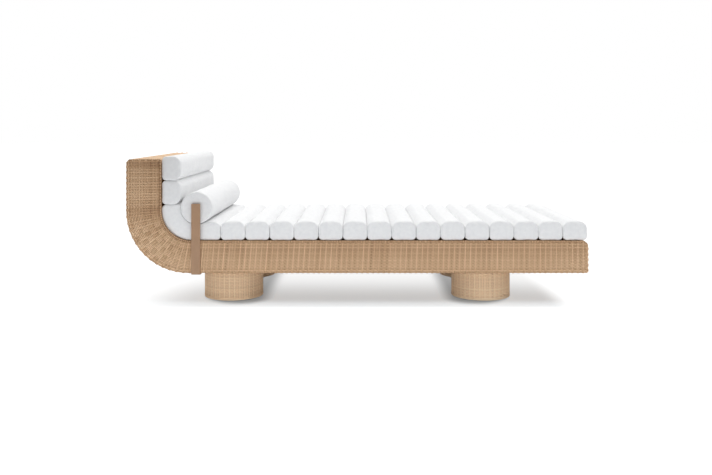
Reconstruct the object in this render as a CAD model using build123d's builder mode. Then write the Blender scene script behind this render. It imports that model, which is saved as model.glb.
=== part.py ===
from build123d import *

import os
from math import asin, cos, degrees

# A woven sun lounger with an upswept headboard, drum feet, a channelled pad and a neck bolster.
# +X runs from the head end to the foot end, +Y to the left of someone lying on it, +Z up.
# The origin lies on the floor under the middle of the woven body. All sizes are in millimetres.

# Woven body
lounger_length = 2100
lounger_width = 850
foot_height = 134
platform_thickness = 148
headboard_thickness = 160
headboard_rise = 371
inner_bend_radius = 137
foot_end_top_radius = 26
foot_end_bottom_radius = 8
head_back_radius = 22
head_front_radius = 8
skin_thickness = 5
skin_edge_radius = 3

# Aluminium frame inside the weave
tube_size = 25
tube_wall = 2
strut_width = 20
strut_thickness = 5
strut_count = 7
deck_rail_count = 9
middle_rail_count = 3
rail_end_inset = 90
drain_hole_radius = 3

# Drum feet
drum_radius = 138
drum_centre_from_end = 466
drum_inset = 26
drum_wall = 5
drum_fit_gap = 0.3
drum_plate_thickness = 4
drum_post_inset = 20
drum_post_radius = 8
drum_post_count = 4

# Glides under the feet
glide_radius = 12
glide_thickness = 4
glide_stem_radius = 3
glide_stem_length = 6
glide_count = 4

# Foot plates and their bolts
plate_thickness = 6
bolt_radius = 4
bolt_spacing = 110
bolt_head_width = 13
bolt_head_height = 5.3
nut_height = 6.5
bolt_end_reach = 2
hole_clearance = 0.5

# Seat rolls, back rolls and the corner pad
pad_side_inset = 10
pad_height = 85
pad_crown = 3
pad_foot_inset = 3
roll_count = 15
roll_top_radius = 30
roll_bottom_radius = 16
roll_end_radius = 8
back_roll_count = 2
corner_pad_reach = 268
trough_clearance = 0.6
trough_lip_radius = 9
trough_tip_rise = 10.5

# Neck bolster and the tube and bushes inside it
bolster_radius = 72.5
bolster_gap_to_back = 0.8
bolster_sink = 7
bolster_end_gap = 6
bolster_end_radius = 7
core_radius = 16
core_wall = 2
core_fit_gap = 0.2
bush_flange_thickness = 2
bush_plug_length = 40
bush_fit_gap = 0.1
bush_end_float = 0.5

# Bolster brackets
bracket_width = 40
bracket_thickness = 6
bracket_bend_radius = 2
bracket_corner_radius = 3
bracket_flange_reach = 80
bracket_gap_to_bend = 16.3
pin_radius = 6
pin_length = 50
pin_running_gap = 0.05
pin_collar_radius = 10

# Bracket screws
screw_radius = 2.5
screw_head_radius = 5
screw_length = 21
screw_hole_gap = 0.1
screw_spacing = 34
countersink_angle = 90

# Extra reach of a cutting shape past the edge that it crosses
cut_overrun = 5

# Places worked out from the sizes above
head_x = -lounger_length / 2
foot_x = lounger_length / 2
side_y = lounger_width / 2
underside_z = foot_height
deck_z = underside_z + platform_thickness
headboard_top_z = deck_z + headboard_rise
headboard_front_x = head_x + headboard_thickness
frame_top_z = deck_z - skin_thickness
frame_bottom_z = underside_z + skin_thickness
frame_side_y = side_y - skin_thickness
rail_half_span = frame_side_y - tube_size
screw_row_y = frame_side_y - tube_size / 2

back_pad_front_x = headboard_front_x + pad_height
corner_pad_end_x = headboard_front_x + corner_pad_reach
pad_shoulder_z = deck_z + pad_height - pad_crown
pad_width = lounger_width - 2 * pad_side_inset
roll_pitch = (foot_x - pad_foot_inset - corner_pad_end_x) / roll_count

bolster_x = back_pad_front_x + bolster_gap_to_back + bolster_radius
bolster_z = pad_shoulder_z - bolster_sink + bolster_radius
back_pad_bottom_z = bolster_z + trough_tip_rise
back_roll_pitch = (headboard_top_z + pad_crown - back_pad_bottom_z) / back_roll_count
bolster_half_length = side_y - bolster_end_gap
core_half_length = bolster_half_length - bush_flange_thickness
core_bore_radius = core_radius - core_wall

drum_x = foot_x - drum_centre_from_end
drum_y = side_y - drum_inset - drum_radius
drum_bore_radius = drum_radius - drum_wall
drum_post_circle = drum_bore_radius - drum_post_inset
drum_places = {
    "head_right": (-drum_x, -drum_y),
    "head_left": (-drum_x, drum_y),
    "foot_right": (drum_x, -drum_y),
    "foot_left": (drum_x, drum_y),
}
foot_bolt_places = [
    (x + step_x * bolt_spacing / 2, y + step_y * bolt_spacing / 2)
    for x, y in drum_places.values()
    for step_x in (-1, 1)
    for step_y in (-1, 1)
]

bracket_bottom_z = underside_z - bracket_thickness
outer_bend_radius = bolster_x - bracket_width / 2 - bracket_gap_to_bend - head_x
bracket_top_z = bolster_z + bracket_width / 2
side_screw_places = [(bolster_x, -screw_row_y), (bolster_x, screw_row_y)]
rail_screw_places = [(bolster_x, -screw_row_y + screw_spacing), (bolster_x, screw_row_y - screw_spacing)]


def save(part, label):
    """Labels a finished piece and writes it to a file of its own."""
    part.label = label
    export_step(part, f"parts/{label}.step")


def save_with_mirror(part, label):
    """Saves a piece of the right side, and its mirror image for the left side."""
    with BuildPart() as left:
        mirror(part, about=Plane.XZ)
    save(part, f"{label}_right")
    save(left.part, f"{label}_left")


def body_profile(inset):
    """Side outline of the woven body in X and Z, drawn in all round by inset."""
    left = head_x + inset
    right = foot_x - inset
    bottom = underside_z + inset
    deck = deck_z - inset
    front = headboard_front_x - inset
    top = headboard_top_z - inset
    corners = [(left, bottom), (right, bottom), (right, deck), (front, deck), (front, top), (left, top)]
    radii = [
        outer_bend_radius - inset,
        max(foot_end_bottom_radius - inset, 0),
        max(foot_end_top_radius - inset, 0),
        inner_bend_radius + inset,
        max(head_front_radius - inset, 0),
        max(head_back_radius - inset, 0),
    ]
    with BuildSketch() as profile:
        with BuildLine():
            FilletPolyline(*corners, radius=radii, close=True)
        make_face()
    return profile.sketch


def skin_ring():
    """The wrap of the weave round the side outline, one skin thick."""
    with BuildSketch() as ring:
        add(body_profile(0))
        add(body_profile(skin_thickness), mode=Mode.SUBTRACT)
    return ring.sketch


def head_cap_area():
    """The stretch of the side outline that the headboard's cap covers."""
    with BuildSketch() as area:
        with Locations(((head_x + headboard_front_x) / 2, headboard_top_z - head_back_radius)):
            Rectangle(
                headboard_thickness + cut_overrun,
                head_back_radius + cut_overrun,
                align=(Align.CENTER, Align.MIN),
            )
    return area.sketch


def foot_panel_area():
    """The stretch of the side outline that the foot end's panel covers."""
    with BuildSketch() as area:
        with Locations((foot_x - foot_end_top_radius, (underside_z + deck_z) / 2)):
            Rectangle(
                foot_end_top_radius + cut_overrun,
                platform_thickness + cut_overrun,
                align=(Align.MIN, Align.CENTER),
            )
    return area.sketch


def long_skin_areas():
    """The two long stretches of the wrap, the one over the deck first."""
    with BuildSketch() as rest:
        add(skin_ring())
        add(head_cap_area(), mode=Mode.SUBTRACT)
        add(foot_panel_area(), mode=Mode.SUBTRACT)
    return rest.sketch.faces().sort_by(SortBy.AREA)


def end_skin(area):
    """The stretch of the wrap that lies in the given area, across the lounger."""
    with BuildPart() as skin:
        with BuildSketch(Plane.XZ):
            add(skin_ring())
            add(area, mode=Mode.INTERSECT)
        extrude(amount=frame_side_y, both=True)
    return skin.part


def make_woven_body():
    """Woven skins: two side panels, and between them the deck, the back, a cap and an end panel."""
    with BuildPart() as side:
        with BuildSketch(Plane.XZ.offset(side_y)):
            add(body_profile(0))
        extrude(amount=-skin_thickness)
        outer_face = side.faces().sort_by(Axis.Y)[0]
        fillet(outer_face.edges(), radius=skin_edge_radius)
    save_with_mirror(side.part, "woven_side")

    deck_area, back_area = long_skin_areas()
    with BuildPart() as deck_skin:
        with BuildSketch(Plane.XZ):
            add(deck_area)
        extrude(amount=frame_side_y, both=True)
    save(deck_skin.part, "woven_deck_skin")

    with BuildPart() as back_skin:
        with BuildSketch(Plane.XZ):
            add(back_area)
        extrude(amount=frame_side_y, both=True)
        with BuildSketch(Plane.XY.offset(underside_z)):
            with Locations(*foot_bolt_places):
                Circle(bolt_radius + hole_clearance)
            with Locations(*side_screw_places, *rail_screw_places):
                Circle(screw_radius + screw_hole_gap)
        extrude(amount=skin_thickness, mode=Mode.SUBTRACT)
    save(back_skin.part, "woven_back_skin")

    save(end_skin(head_cap_area()), "woven_head_cap")
    save(end_skin(foot_panel_area()), "woven_foot_panel")


def make_side_frames():
    """A welded ring of square tube that follows the side outline, with flat struts across it."""
    first = head_x + outer_bend_radius
    last = foot_x - skin_thickness - tube_size
    step = (last - first) / (strut_count + 1)
    strut_places = [
        (first + step * (number + 1), (frame_bottom_z + frame_top_z) / 2) for number in range(strut_count)
    ]
    with BuildPart() as ring:
        with BuildSketch(Plane.XZ.offset(frame_side_y)):
            add(body_profile(skin_thickness))
            add(body_profile(skin_thickness + tube_size), mode=Mode.SUBTRACT)
        extrude(amount=-tube_size)
        with BuildSketch(Plane.XZ.offset(frame_side_y)):
            with Locations(*strut_places):
                Rectangle(strut_width, frame_top_z - frame_bottom_z)
        extrude(amount=-strut_thickness)
        with BuildSketch(Plane.XZ.offset(frame_side_y - tube_wall)):
            add(body_profile(skin_thickness + tube_wall))
            add(body_profile(skin_thickness + tube_size - tube_wall), mode=Mode.SUBTRACT)
        extrude(amount=-(tube_size - tube_wall - tube_wall), mode=Mode.SUBTRACT)
        with BuildSketch(Plane.XY.offset(frame_bottom_z)):
            with Locations((drum_x, -screw_row_y)):
                Circle(drain_hole_radius)
            with Locations(side_screw_places[0]):
                Circle(screw_radius + screw_hole_gap)
        extrude(amount=tube_wall, mode=Mode.SUBTRACT)
    save_with_mirror(ring.part, "side_frame")


def cross_rails(places):
    """Square tubes across the lounger, open at their ends, centred on the given X and Z."""
    bore = tube_size - tube_wall - tube_wall
    with BuildPart() as rails:
        with BuildSketch(Plane.XZ):
            with Locations(*places):
                Rectangle(tube_size, tube_size)
                Rectangle(bore, bore, mode=Mode.SUBTRACT)
        extrude(amount=rail_half_span, both=True)
    return rails.part


def make_cross_rails():
    """Cross rails under the deck, up the headboard and along the underside."""
    half = tube_size / 2
    first = headboard_front_x + inner_bend_radius
    step = (foot_x - rail_end_inset - first) / (deck_rail_count - 1)
    deck_places = [(first + number * step, frame_top_z - half) for number in range(deck_rail_count)]
    save(cross_rails(deck_places), "deck_rails")

    front_x = headboard_front_x - skin_thickness - half
    back_x = head_x + skin_thickness + half
    high_z = headboard_top_z - rail_end_inset
    headboard_places = [
        (front_x, deck_z + inner_bend_radius),
        (front_x, high_z),
        (back_x, underside_z + outer_bend_radius + half),
        (back_x, high_z),
    ]
    save(cross_rails(headboard_places), "headboard_rails")

    rail_z = frame_bottom_z + half
    foot_reach = drum_bore_radius - half
    foot_rails = [(sign * drum_x + step * foot_reach, rail_z) for sign in (-1, 1) for step in (-1, 1)]
    middle_span = 2 * (drum_x - foot_reach)
    middle_step = middle_span / (middle_rail_count + 1)
    middle_rails = [
        (middle_step * (number + 1) - middle_span / 2, rail_z) for number in range(middle_rail_count)
    ]
    with BuildPart() as underside:
        add(cross_rails([*foot_rails, *middle_rails, (bolster_x, rail_z)]))
        with BuildSketch(Plane.XY.offset(frame_bottom_z)):
            with Locations(*rail_screw_places):
                Circle(screw_radius + screw_hole_gap)
        extrude(amount=tube_wall, mode=Mode.SUBTRACT)
    save(underside.part, "underside_rails")


def make_foot_fixings():
    """Plates welded between the underside rails, and the bolts and nuts that hold the feet."""
    plate_length = 2 * (drum_bore_radius - tube_size)
    with BuildPart() as plates:
        with BuildSketch(Plane.XY.offset(frame_bottom_z)):
            with Locations(*drum_places.values()):
                Rectangle(plate_length, bolt_spacing + 2 * bolt_head_width)
            with Locations(*foot_bolt_places):
                Circle(bolt_radius + hole_clearance, mode=Mode.SUBTRACT)
        extrude(amount=plate_thickness)
    save(plates.part, "foot_plates")

    seat_z = frame_bottom_z + plate_thickness
    nut_top_z = underside_z - drum_plate_thickness
    with BuildPart() as bolts:
        with BuildSketch(Plane.XY.offset(seat_z)):
            with Locations(*foot_bolt_places):
                RegularPolygon(bolt_head_width / 2, 6, major_radius=False)
        extrude(amount=bolt_head_height)
        with BuildSketch(Plane.XY.offset(seat_z)):
            with Locations(*foot_bolt_places):
                Circle(bolt_radius)
        extrude(amount=-(seat_z - nut_top_z + nut_height + bolt_end_reach))
    save(bolts.part, "foot_bolts")

    with BuildPart() as nuts:
        with BuildSketch(Plane.XY.offset(nut_top_z)):
            with Locations(*foot_bolt_places):
                RegularPolygon(bolt_head_width / 2, 6, major_radius=False)
                Circle(bolt_radius + screw_hole_gap, mode=Mode.SUBTRACT)
        extrude(amount=-nut_height)
    save(nuts.part, "foot_nuts")


def make_drum_foot(name, place):
    """One foot: the woven drum, and inside it two discs joined by posts."""
    with BuildPart() as weave:
        with BuildSketch(Plane.XY.offset(glide_thickness)):
            with Locations(place):
                Circle(drum_radius)
                Circle(drum_bore_radius, mode=Mode.SUBTRACT)
        extrude(amount=foot_height - glide_thickness)
    save(weave.part, f"foot_weave_{name}")

    disc_radius = drum_bore_radius - drum_fit_gap
    floor_z = glide_thickness + drum_plate_thickness
    with BuildPart() as frame:
        with BuildSketch(Plane.XY.offset(underside_z)):
            with Locations(place):
                Circle(disc_radius)
                with GridLocations(bolt_spacing, bolt_spacing, 2, 2):
                    Circle(bolt_radius + hole_clearance, mode=Mode.SUBTRACT)
        extrude(amount=-drum_plate_thickness)
        with BuildSketch(Plane.XY.offset(glide_thickness)):
            with Locations(place):
                Circle(disc_radius)
                Circle(drain_hole_radius, mode=Mode.SUBTRACT)
                with PolarLocations(drum_post_circle, glide_count, start_angle=180 / glide_count):
                    Circle(glide_stem_radius + screw_hole_gap, mode=Mode.SUBTRACT)
        extrude(amount=drum_plate_thickness)
        with BuildSketch(Plane.XY.offset(floor_z)):
            with Locations(place):
                with PolarLocations(drum_post_circle, drum_post_count):
                    Circle(drum_post_radius)
        extrude(amount=foot_height - drum_plate_thickness - floor_z)
    save(frame.part, f"foot_frame_{name}")


def make_glides():
    """Push-in glides under the drums, the only pieces that touch the floor."""
    with BuildPart() as glides:
        with BuildSketch():
            with Locations(*drum_places.values()):
                with PolarLocations(drum_post_circle, glide_count, start_angle=180 / glide_count):
                    Circle(glide_radius)
        extrude(amount=glide_thickness)
        with BuildSketch(Plane.XY.offset(glide_thickness)):
            with Locations(*drum_places.values()):
                with PolarLocations(drum_post_circle, glide_count, start_angle=180 / glide_count):
                    Circle(glide_stem_radius)
        extrude(amount=glide_stem_length)
    save(glides.part, "floor_glides")


def roll_profile(width):
    """Cross-section of one stuffed roll: a flat base, upright sides and a crowned top."""
    half = width / 2
    shoulder = pad_height - pad_crown
    with BuildSketch() as profile:
        with BuildLine():
            Polyline((-half, shoulder), (-half, 0), (half, 0), (half, shoulder))
            ThreePointArc((half, shoulder), (0, pad_height), (-half, shoulder))
        make_face()
        fillet(profile.vertices().group_by(Axis.Y)[0], radius=roll_bottom_radius)
        fillet(profile.vertices().group_by(Axis.Y)[-1], radius=roll_top_radius)
    return profile.sketch


def pad_section(section, plane_location):
    """A stuffed piece with the given cross-section, across the lounger, with rounded ends."""
    with BuildPart() as pad:
        with BuildSketch(Plane.XZ):
            with Locations(plane_location):
                add(section)
        extrude(amount=pad_width / 2, both=True)
        ends = pad.faces().filter_by(Axis.Y)
        fillet(ends.edges(), radius=roll_end_radius)
    return pad.part


def make_rolls():
    """The seat rolls along the deck and the back rolls up the headboard, each against the next."""
    for number in range(roll_count):
        centre_x = corner_pad_end_x + (number + 1 / 2) * roll_pitch
        roll = pad_section(roll_profile(roll_pitch), Location((centre_x, deck_z)))
        save(roll, f"seat_roll_{number + 1:02d}")
    for number in range(back_roll_count):
        centre_z = back_pad_bottom_z + (number + 1 / 2) * back_roll_pitch
        roll = pad_section(roll_profile(back_roll_pitch), Location((headboard_front_x, centre_z), -90))
        save(roll, f"back_roll_{number + 1}")


def corner_pad_profile():
    """Cross-section of the corner pad: it fills the bend, and its top is hollowed for the bolster."""
    trough_radius = bolster_radius + trough_clearance
    lip_angle = asin((bolster_z - pad_shoulder_z) / trough_radius)
    lip = (bolster_x + trough_radius * cos(lip_angle), pad_shoulder_z)
    tip = (bolster_x - trough_radius, back_pad_bottom_z)
    end_top = (corner_pad_end_x, pad_shoulder_z)
    end_bottom = (corner_pad_end_x, deck_z)
    heel_top = (headboard_front_x, back_pad_bottom_z)
    bend_corner = (headboard_front_x, deck_z)
    bend_centre = (headboard_front_x + inner_bend_radius, deck_z + inner_bend_radius)
    with BuildSketch() as profile:
        with BuildLine():
            Polyline(lip, end_top, end_bottom, bend_corner, heel_top, tip, (tip[0], bolster_z))
            CenterArc(
                (bolster_x, bolster_z),
                trough_radius,
                start_angle=180,
                arc_size=180 - degrees(lip_angle),
            )
        make_face()
        with BuildLine():
            Polyline((bend_centre[0], deck_z), bend_corner, (headboard_front_x, bend_centre[1]))
            CenterArc(bend_centre, inner_bend_radius, start_angle=180, arc_size=90)
        make_face(mode=Mode.SUBTRACT)
        fillet(profile.vertices().sort_by_distance((*end_top, 0))[0], radius=roll_top_radius)
        fillet(profile.vertices().sort_by_distance((*end_bottom, 0))[0], radius=roll_bottom_radius)
        fillet(profile.vertices().sort_by_distance((*heel_top, 0))[0], radius=roll_bottom_radius)
        fillet(profile.vertices().sort_by_distance((*tip, 0))[0], radius=trough_lip_radius)
        fillet(profile.vertices().sort_by_distance((*lip, 0))[0], radius=trough_lip_radius)
    return profile.sketch


def make_corner_pad():
    """The large pad in the bend between the deck and the headboard."""
    save(pad_section(corner_pad_profile(), Location((0, 0))), "corner_pad")


def make_bolster():
    """The round bolster: its stuffed pad, the tube through it and a flanged bush in each end."""
    with BuildPart() as pad:
        with BuildSketch(Plane.XZ):
            with Locations((bolster_x, bolster_z)):
                Circle(bolster_radius)
        extrude(amount=bolster_half_length, both=True)
        fillet(pad.faces().filter_by(Axis.Y).edges(), radius=bolster_end_radius)
        with BuildSketch(Plane.XZ):
            with Locations((bolster_x, bolster_z)):
                Circle(core_radius + core_fit_gap)
        extrude(amount=bolster_half_length, both=True, mode=Mode.SUBTRACT)
    save(pad.part, "bolster_pad")

    with BuildPart() as core:
        with BuildSketch(Plane.XZ):
            with Locations((bolster_x, bolster_z)):
                Circle(core_radius)
                Circle(core_bore_radius, mode=Mode.SUBTRACT)
        extrude(amount=core_half_length, both=True)
    save(core.part, "bolster_core_tube")

    with BuildPart() as bush:
        with BuildSketch(Plane.XZ.offset(bolster_half_length)):
            with Locations((bolster_x, bolster_z)):
                Circle(core_radius)
        extrude(amount=-bush_flange_thickness)
        with BuildSketch(Plane.XZ.offset(core_half_length)):
            with Locations((bolster_x, bolster_z)):
                Circle(core_bore_radius - bush_fit_gap)
        extrude(amount=-bush_plug_length)
        with BuildSketch(Plane.XZ.offset(bolster_half_length)):
            with Locations((bolster_x, bolster_z)):
                Circle(pin_radius + pin_running_gap)
        extrude(amount=-(bush_flange_thickness + bush_plug_length), mode=Mode.SUBTRACT)
    save_with_mirror(bush.part, "bolster_bush")


def make_brackets():
    """Flat bar bent under the body, rising beside it to a collared pin on the bolster's axis."""
    outer_y = side_y + bracket_thickness
    flange_end_y = outer_y - bracket_flange_reach
    corners = [
        (-side_y, bracket_top_z),
        (-side_y, underside_z),
        (-flange_end_y, underside_z),
        (-flange_end_y, bracket_bottom_z),
        (-outer_y, bracket_bottom_z),
        (-outer_y, bracket_top_z),
    ]
    radii = [0, bracket_bend_radius, 0, 0, bracket_bend_radius + bracket_thickness, 0]
    with BuildPart() as bracket:
        with BuildSketch(Plane.YZ.offset(bolster_x)):
            with BuildLine():
                FilletPolyline(*corners, radius=radii, close=True)
            make_face()
        extrude(amount=bracket_width / 2, both=True)
        fillet(bracket.edges().filter_by(Axis.Y).group_by(Axis.Z)[-1], radius=bracket_corner_radius)
        fillet(bracket.edges().filter_by(Axis.Z).group_by(Axis.Y)[-1], radius=bracket_corner_radius)
        with BuildSketch(Plane.XZ.offset(side_y)):
            with Locations((bolster_x, bolster_z)):
                Circle(pin_collar_radius)
        extrude(amount=-(bolster_end_gap - bush_end_float))
        with BuildSketch(Plane.XZ.offset(side_y)):
            with Locations((bolster_x, bolster_z)):
                Circle(pin_radius)
        extrude(amount=-pin_length)
        for x, y in (side_screw_places[0], rail_screw_places[0]):
            with Locations(Plane((x, y, bracket_bottom_z), z_dir=(0, 0, -1))):
                CounterSinkHole(
                    radius=screw_radius + screw_hole_gap,
                    counter_sink_radius=screw_head_radius + screw_hole_gap,
                    depth=bracket_thickness,
                    counter_sink_angle=countersink_angle,
                )
    save_with_mirror(bracket.part, "bolster_bracket")

    head_height = screw_head_radius - screw_radius
    with BuildPart() as screws:
        for x, y in (*side_screw_places, *rail_screw_places):
            with Locations((x, y, bracket_bottom_z)):
                Cone(
                    screw_head_radius,
                    screw_radius,
                    head_height,
                    align=(Align.CENTER, Align.CENTER, Align.MIN),
                )
                Cylinder(screw_radius, screw_length, align=(Align.CENTER, Align.CENTER, Align.MIN))
    save(screws.part, "bracket_screws")


os.makedirs("parts", exist_ok=True)
make_woven_body()
make_side_frames()
make_cross_rails()
make_foot_fixings()
for drum_name, drum_place in drum_places.items():
    make_drum_foot(drum_name, drum_place)
make_glides()
make_rolls()
make_corner_pad()
make_bolster()
make_brackets()
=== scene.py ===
import math

import bpy
import numpy as np
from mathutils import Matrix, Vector
from mathutils.geometry import delaunay_2d_cdt, tessellate_polygon


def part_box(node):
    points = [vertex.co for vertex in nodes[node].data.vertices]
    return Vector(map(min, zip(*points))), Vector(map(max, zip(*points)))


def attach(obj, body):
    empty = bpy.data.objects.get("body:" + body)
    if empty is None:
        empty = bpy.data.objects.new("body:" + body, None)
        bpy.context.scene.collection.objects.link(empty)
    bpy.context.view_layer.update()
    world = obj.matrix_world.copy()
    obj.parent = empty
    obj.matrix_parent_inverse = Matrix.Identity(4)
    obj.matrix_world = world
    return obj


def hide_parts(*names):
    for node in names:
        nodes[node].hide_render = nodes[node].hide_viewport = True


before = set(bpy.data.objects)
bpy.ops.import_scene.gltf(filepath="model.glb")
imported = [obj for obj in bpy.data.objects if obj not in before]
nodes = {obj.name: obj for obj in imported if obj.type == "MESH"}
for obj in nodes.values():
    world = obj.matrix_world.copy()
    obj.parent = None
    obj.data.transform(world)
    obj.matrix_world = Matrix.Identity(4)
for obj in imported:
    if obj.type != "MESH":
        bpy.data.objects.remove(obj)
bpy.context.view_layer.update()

MM = 0.001
SEED = 20

random_draw = np.random.default_rng(SEED)

# Places read from the frame, in metres
side_low, side_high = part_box("woven_side_right")
cap_low, cap_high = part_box("woven_head_cap")
end_low, end_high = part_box("woven_foot_panel")
HEAD_X = side_low[0]
FOOT_X = side_high[0]
SIDE_Y = -side_low[1]
UNDERSIDE_Z = side_low[2]
TOP_Z = side_high[2]
DECK_Z = end_high[2]
FRONT_X = cap_high[0]
BACK_RADIUS = cap_high[2] - cap_low[2]
END_TOP_RADIUS = end_high[0] - end_low[0]

# Radii of the body's outline that no box gives
OUTER_BEND = 282 * MM
INNER_BEND = 137 * MM
END_BOTTOM_RADIUS = 8 * MM
FRONT_RADIUS = 8 * MM

# Weave of the body
STAKE_PITCH = 12.2 * MM
ROW_PITCH = 6.6 * MM
UNDERSIDE_ROW_PITCH = 13.2 * MM
STRAND_DEPTH = 2.6 * MM
WEFT_WAVE = 1.0 * MM
WEFT_HALF_WIDTH = 3.15 * MM
WEFT_HALF_HEIGHT = 1.0 * MM
STAKE_HALF_WIDTH = 3.0 * MM
STAKE_HALF_HEIGHT = 1.1 * MM
POINTS_PER_STAKE = 2
STAKE_POINTS = 8
CROSS_STAKE_POINTS = 3
DECK_ROWS = 4
OUTLINE_STEPS = 24
END_STEPS = 6
BACKING_DEPTH = 4.2 * MM
BACKING_THICKNESS = 0.8 * MM
EDGE_MARGIN = 4.5 * MM
HEADBOARD_CALM = 0.45
CALM_REACH = 110 * MM

# Wraps where the stakes turn over an edge: pairs, but single ones along the deck. The knee is where
# a wrap's end bends down to the weave, as a share of its reach and of its rise
WRAP_PITCH = 24.4 * MM
WRAP_SPREAD = 2.8 * MM
WRAP_RADIUS = 5 * MM
WRAP_REACH = 11 * MM
WRAP_RISE = 1.6 * MM
WRAP_HALF_WIDTH = 2.9 * MM
WRAP_HALF_HEIGHT = 1.3 * MM
WRAP_KNEE_SHARE = 0.75
WRAP_TURN_POINTS = 5

# Rolled border along the inside of the bend
CORD_HALF_WIDTH = 3.5 * MM
CORD_HALF_HEIGHT = 1.8 * MM
CORD_DEPTH = 1 * MM
CORD_STEP = 4 * MM
CORD_TWIST = 14 * MM

# Weave of the drums
DRUM_STAKES = 72
DRUM_RIM_ROWS = 2
DRUM_RIM_RISE = 1.2 * MM
DRUM_STAKE_POINTS = 4
DRUM_SHELL_POINTS = 96

# Tones of the strands, from 0, dark, to 1, light
# Painted shade: the backing is dark, as the shade behind the weave
BACKING_SHADE_TONE = -0.5
WEFT_TONE = 0.5
# Painted shade on the weave's relief: lighter on a weft's crests, darker in its dips
PAINTED_RELIEF_SHADE = 0.2
# Painted light: the drums are lighter, for the light that the floor throws on the feet
PAINTED_DRUM_LIGHT = 1.0
STAKE_TONE = 0.62
PAIR_TONE = 0.35
WRAP_TONE = 0.55
# Painted shade where a wrap turns away over the outer edge
PAINTED_WRAP_SHADE = 0.7
CAP_TONE = 0.6
CORD_TONE = 0.1
CORD_TWIST_TONE = 0.55
# Painted shade in the groove beside the rolled cord
GROOVE_SHADE = -0.3
GROOVE_REACH = 14 * MM
TONE_SPREAD = 0.14
BATCH_ROWS = 4
BATCH_STAKES = 3
BATCH_SPREAD = 0.12
FLAT_BAND_SHARE = 0.25
# Painted shade: darker up the headboard, where less light falls
PAINTED_HEADBOARD_SHADE = 0.14
CHECK_TONE = 0.22
CHECK_STAKES = 2
CHECK_ROWS = 4
# Painted shade below the deck's edge and painted light above the underside, fading over SHADE_REACH
PAINTED_DECK_SHADE = 0.3
PAINTED_UNDERSIDE_LIGHT = 0.15
SHADE_REACH = 26 * MM
STREAK_TONE = 0.5
PATCH_TONE = 0.35
TONE_RANGE = (-0.4, 2.4)

# Cushions
ROLL_TOP = 30 * MM
ROLL_BOTTOM = 20 * MM
PAD_CROWN = 3 * MM
PAD_EDGE = 8 * MM
ROLL_EDGE = 8 * MM
FIRM_SHARE = 0.3
FIRM_HEIGHT_SHARE = 0.5
HEEL_FRONT = 9 * MM
TROUGH_GAP = 0.8 * MM
BOLSTER_EDGE = 9 * MM
BOLSTER_HUB = 24 * MM
TOP_INSET = 1.5 * MM
END_INSET = 1.5 * MM
NEIGHBOUR_GAP = 0.4 * MM
BACK_LIFTS = (4.5 * MM, 6 * MM, 7.5 * MM)

# Points of the covers
RING_STEP = 6 * MM
STATION_STEP = 9 * MM
ROLL_STEPS = 10
CORNER_STEPS = 8
TROUGH_POINTS = 24
BEND_POINTS = 20
BOLSTER_POINTS = 72
EDGE_RINGS = 6
SEAM_RING = 4
SEAM_DEPTH = 0.3 * MM
NET_STEP = 9 * MM
NET_RISE_SHARE = math.sqrt(0.75)
NET_CLEAR_SHARE = 0.7
NET_TOLERANCE = 1e-7

# Filling: its unevenness, in waves of so many radians a metre, and its swell, held where the covers
# are this near to what they rest on
ROLL_MASTERS = 3
BOLSTER_SEED = 9
UNEVENNESS = 0.5 * MM
UNEVEN_WAVES = 10
UNEVEN_RATES = (10, 60)
FLAT_REST = 1 * MM
ROUND_REST = 3 * MM
SWELL_CAP = 3 * MM
BOLSTER_SWELL_CAP = 0.8 * MM
SMALLEST_MOVE = 1e-9
CLOTH_FRAMES = 20
CLOTH_SETTINGS = {
    "quality": 5,
    "mass": 0.15,
    "tension_stiffness": 30,
    "compression_stiffness": 30,
    "shear_stiffness": 15,
    "bending_stiffness": 0.4,
    "shrink_min": -0.01,
    "use_pressure": True,
    "uniform_pressure_force": 4,
}

def add_object(name, data):
    obj = bpy.data.objects.new(name, data)
    bpy.context.scene.collection.objects.link(obj)
    return obj


class Mesh:
    """Collects strands, shells and covers, and turns them into one object."""

    def __init__(self):
        self.verts = []
        self.faces = []
        self.tones = []
        self.count = 0

    def add_points(self, verts, tones=0.0):
        """Adds points and returns the number of the first one."""
        first = self.count
        self.verts.append(verts.reshape(-1, 3))
        self.tones.append(np.broadcast_to(tones, verts.shape[:-1]).reshape(-1))
        self.count += len(self.verts[-1])
        return first

    def add_faces(self, faces):
        """Adds faces over points that are there, all with the same number of corners."""
        self.faces.append(faces.reshape(-1, faces.shape[-1]))

    def add(self, verts, faces, tones=0.0):
        """Adds points, and faces that count them from 0."""
        self.add_faces(faces + self.add_points(verts, tones))

    def finish(self, name, material):
        verts = np.concatenate(self.verts)
        corners = np.concatenate([faces.ravel() for faces in self.faces])
        sizes = np.concatenate([np.full(len(faces), faces.shape[1]) for faces in self.faces])
        starts = np.cumsum(sizes) - sizes
        mesh = bpy.data.meshes.new(name)
        mesh.vertices.add(len(verts))
        mesh.vertices.foreach_set("co", verts.astype(np.float32).ravel())
        mesh.loops.add(len(corners))
        mesh.loops.foreach_set("vertex_index", corners.astype(np.int32))
        mesh.polygons.add(len(sizes))
        mesh.polygons.foreach_set("loop_start", starts.astype(np.int32))
        mesh.update(calc_edges=True)
        mesh.validate()
        tone = mesh.attributes.new("tone", "FLOAT", "POINT")
        tone.data.foreach_set("value", np.concatenate(self.tones).astype(np.float32))
        mesh.shade_smooth()
        mesh.materials.append(material)
        return add_object(name, mesh)


def unit(vectors):
    return vectors / np.linalg.norm(vectors, axis=-1, keepdims=True)


def in_space(flat, y):
    """Points in space from an array whose last axis is X and Z, and from their Y."""
    return np.stack([flat[..., 0], np.broadcast_to(y, flat.shape[:-1]), flat[..., 1]], axis=-1)


def around(count):
    """Directions round the Z axis."""
    turn = np.arange(count) * 2 * math.pi / count
    return np.stack([np.cos(turn), np.sin(turn), np.zeros(count)], axis=-1)


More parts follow.
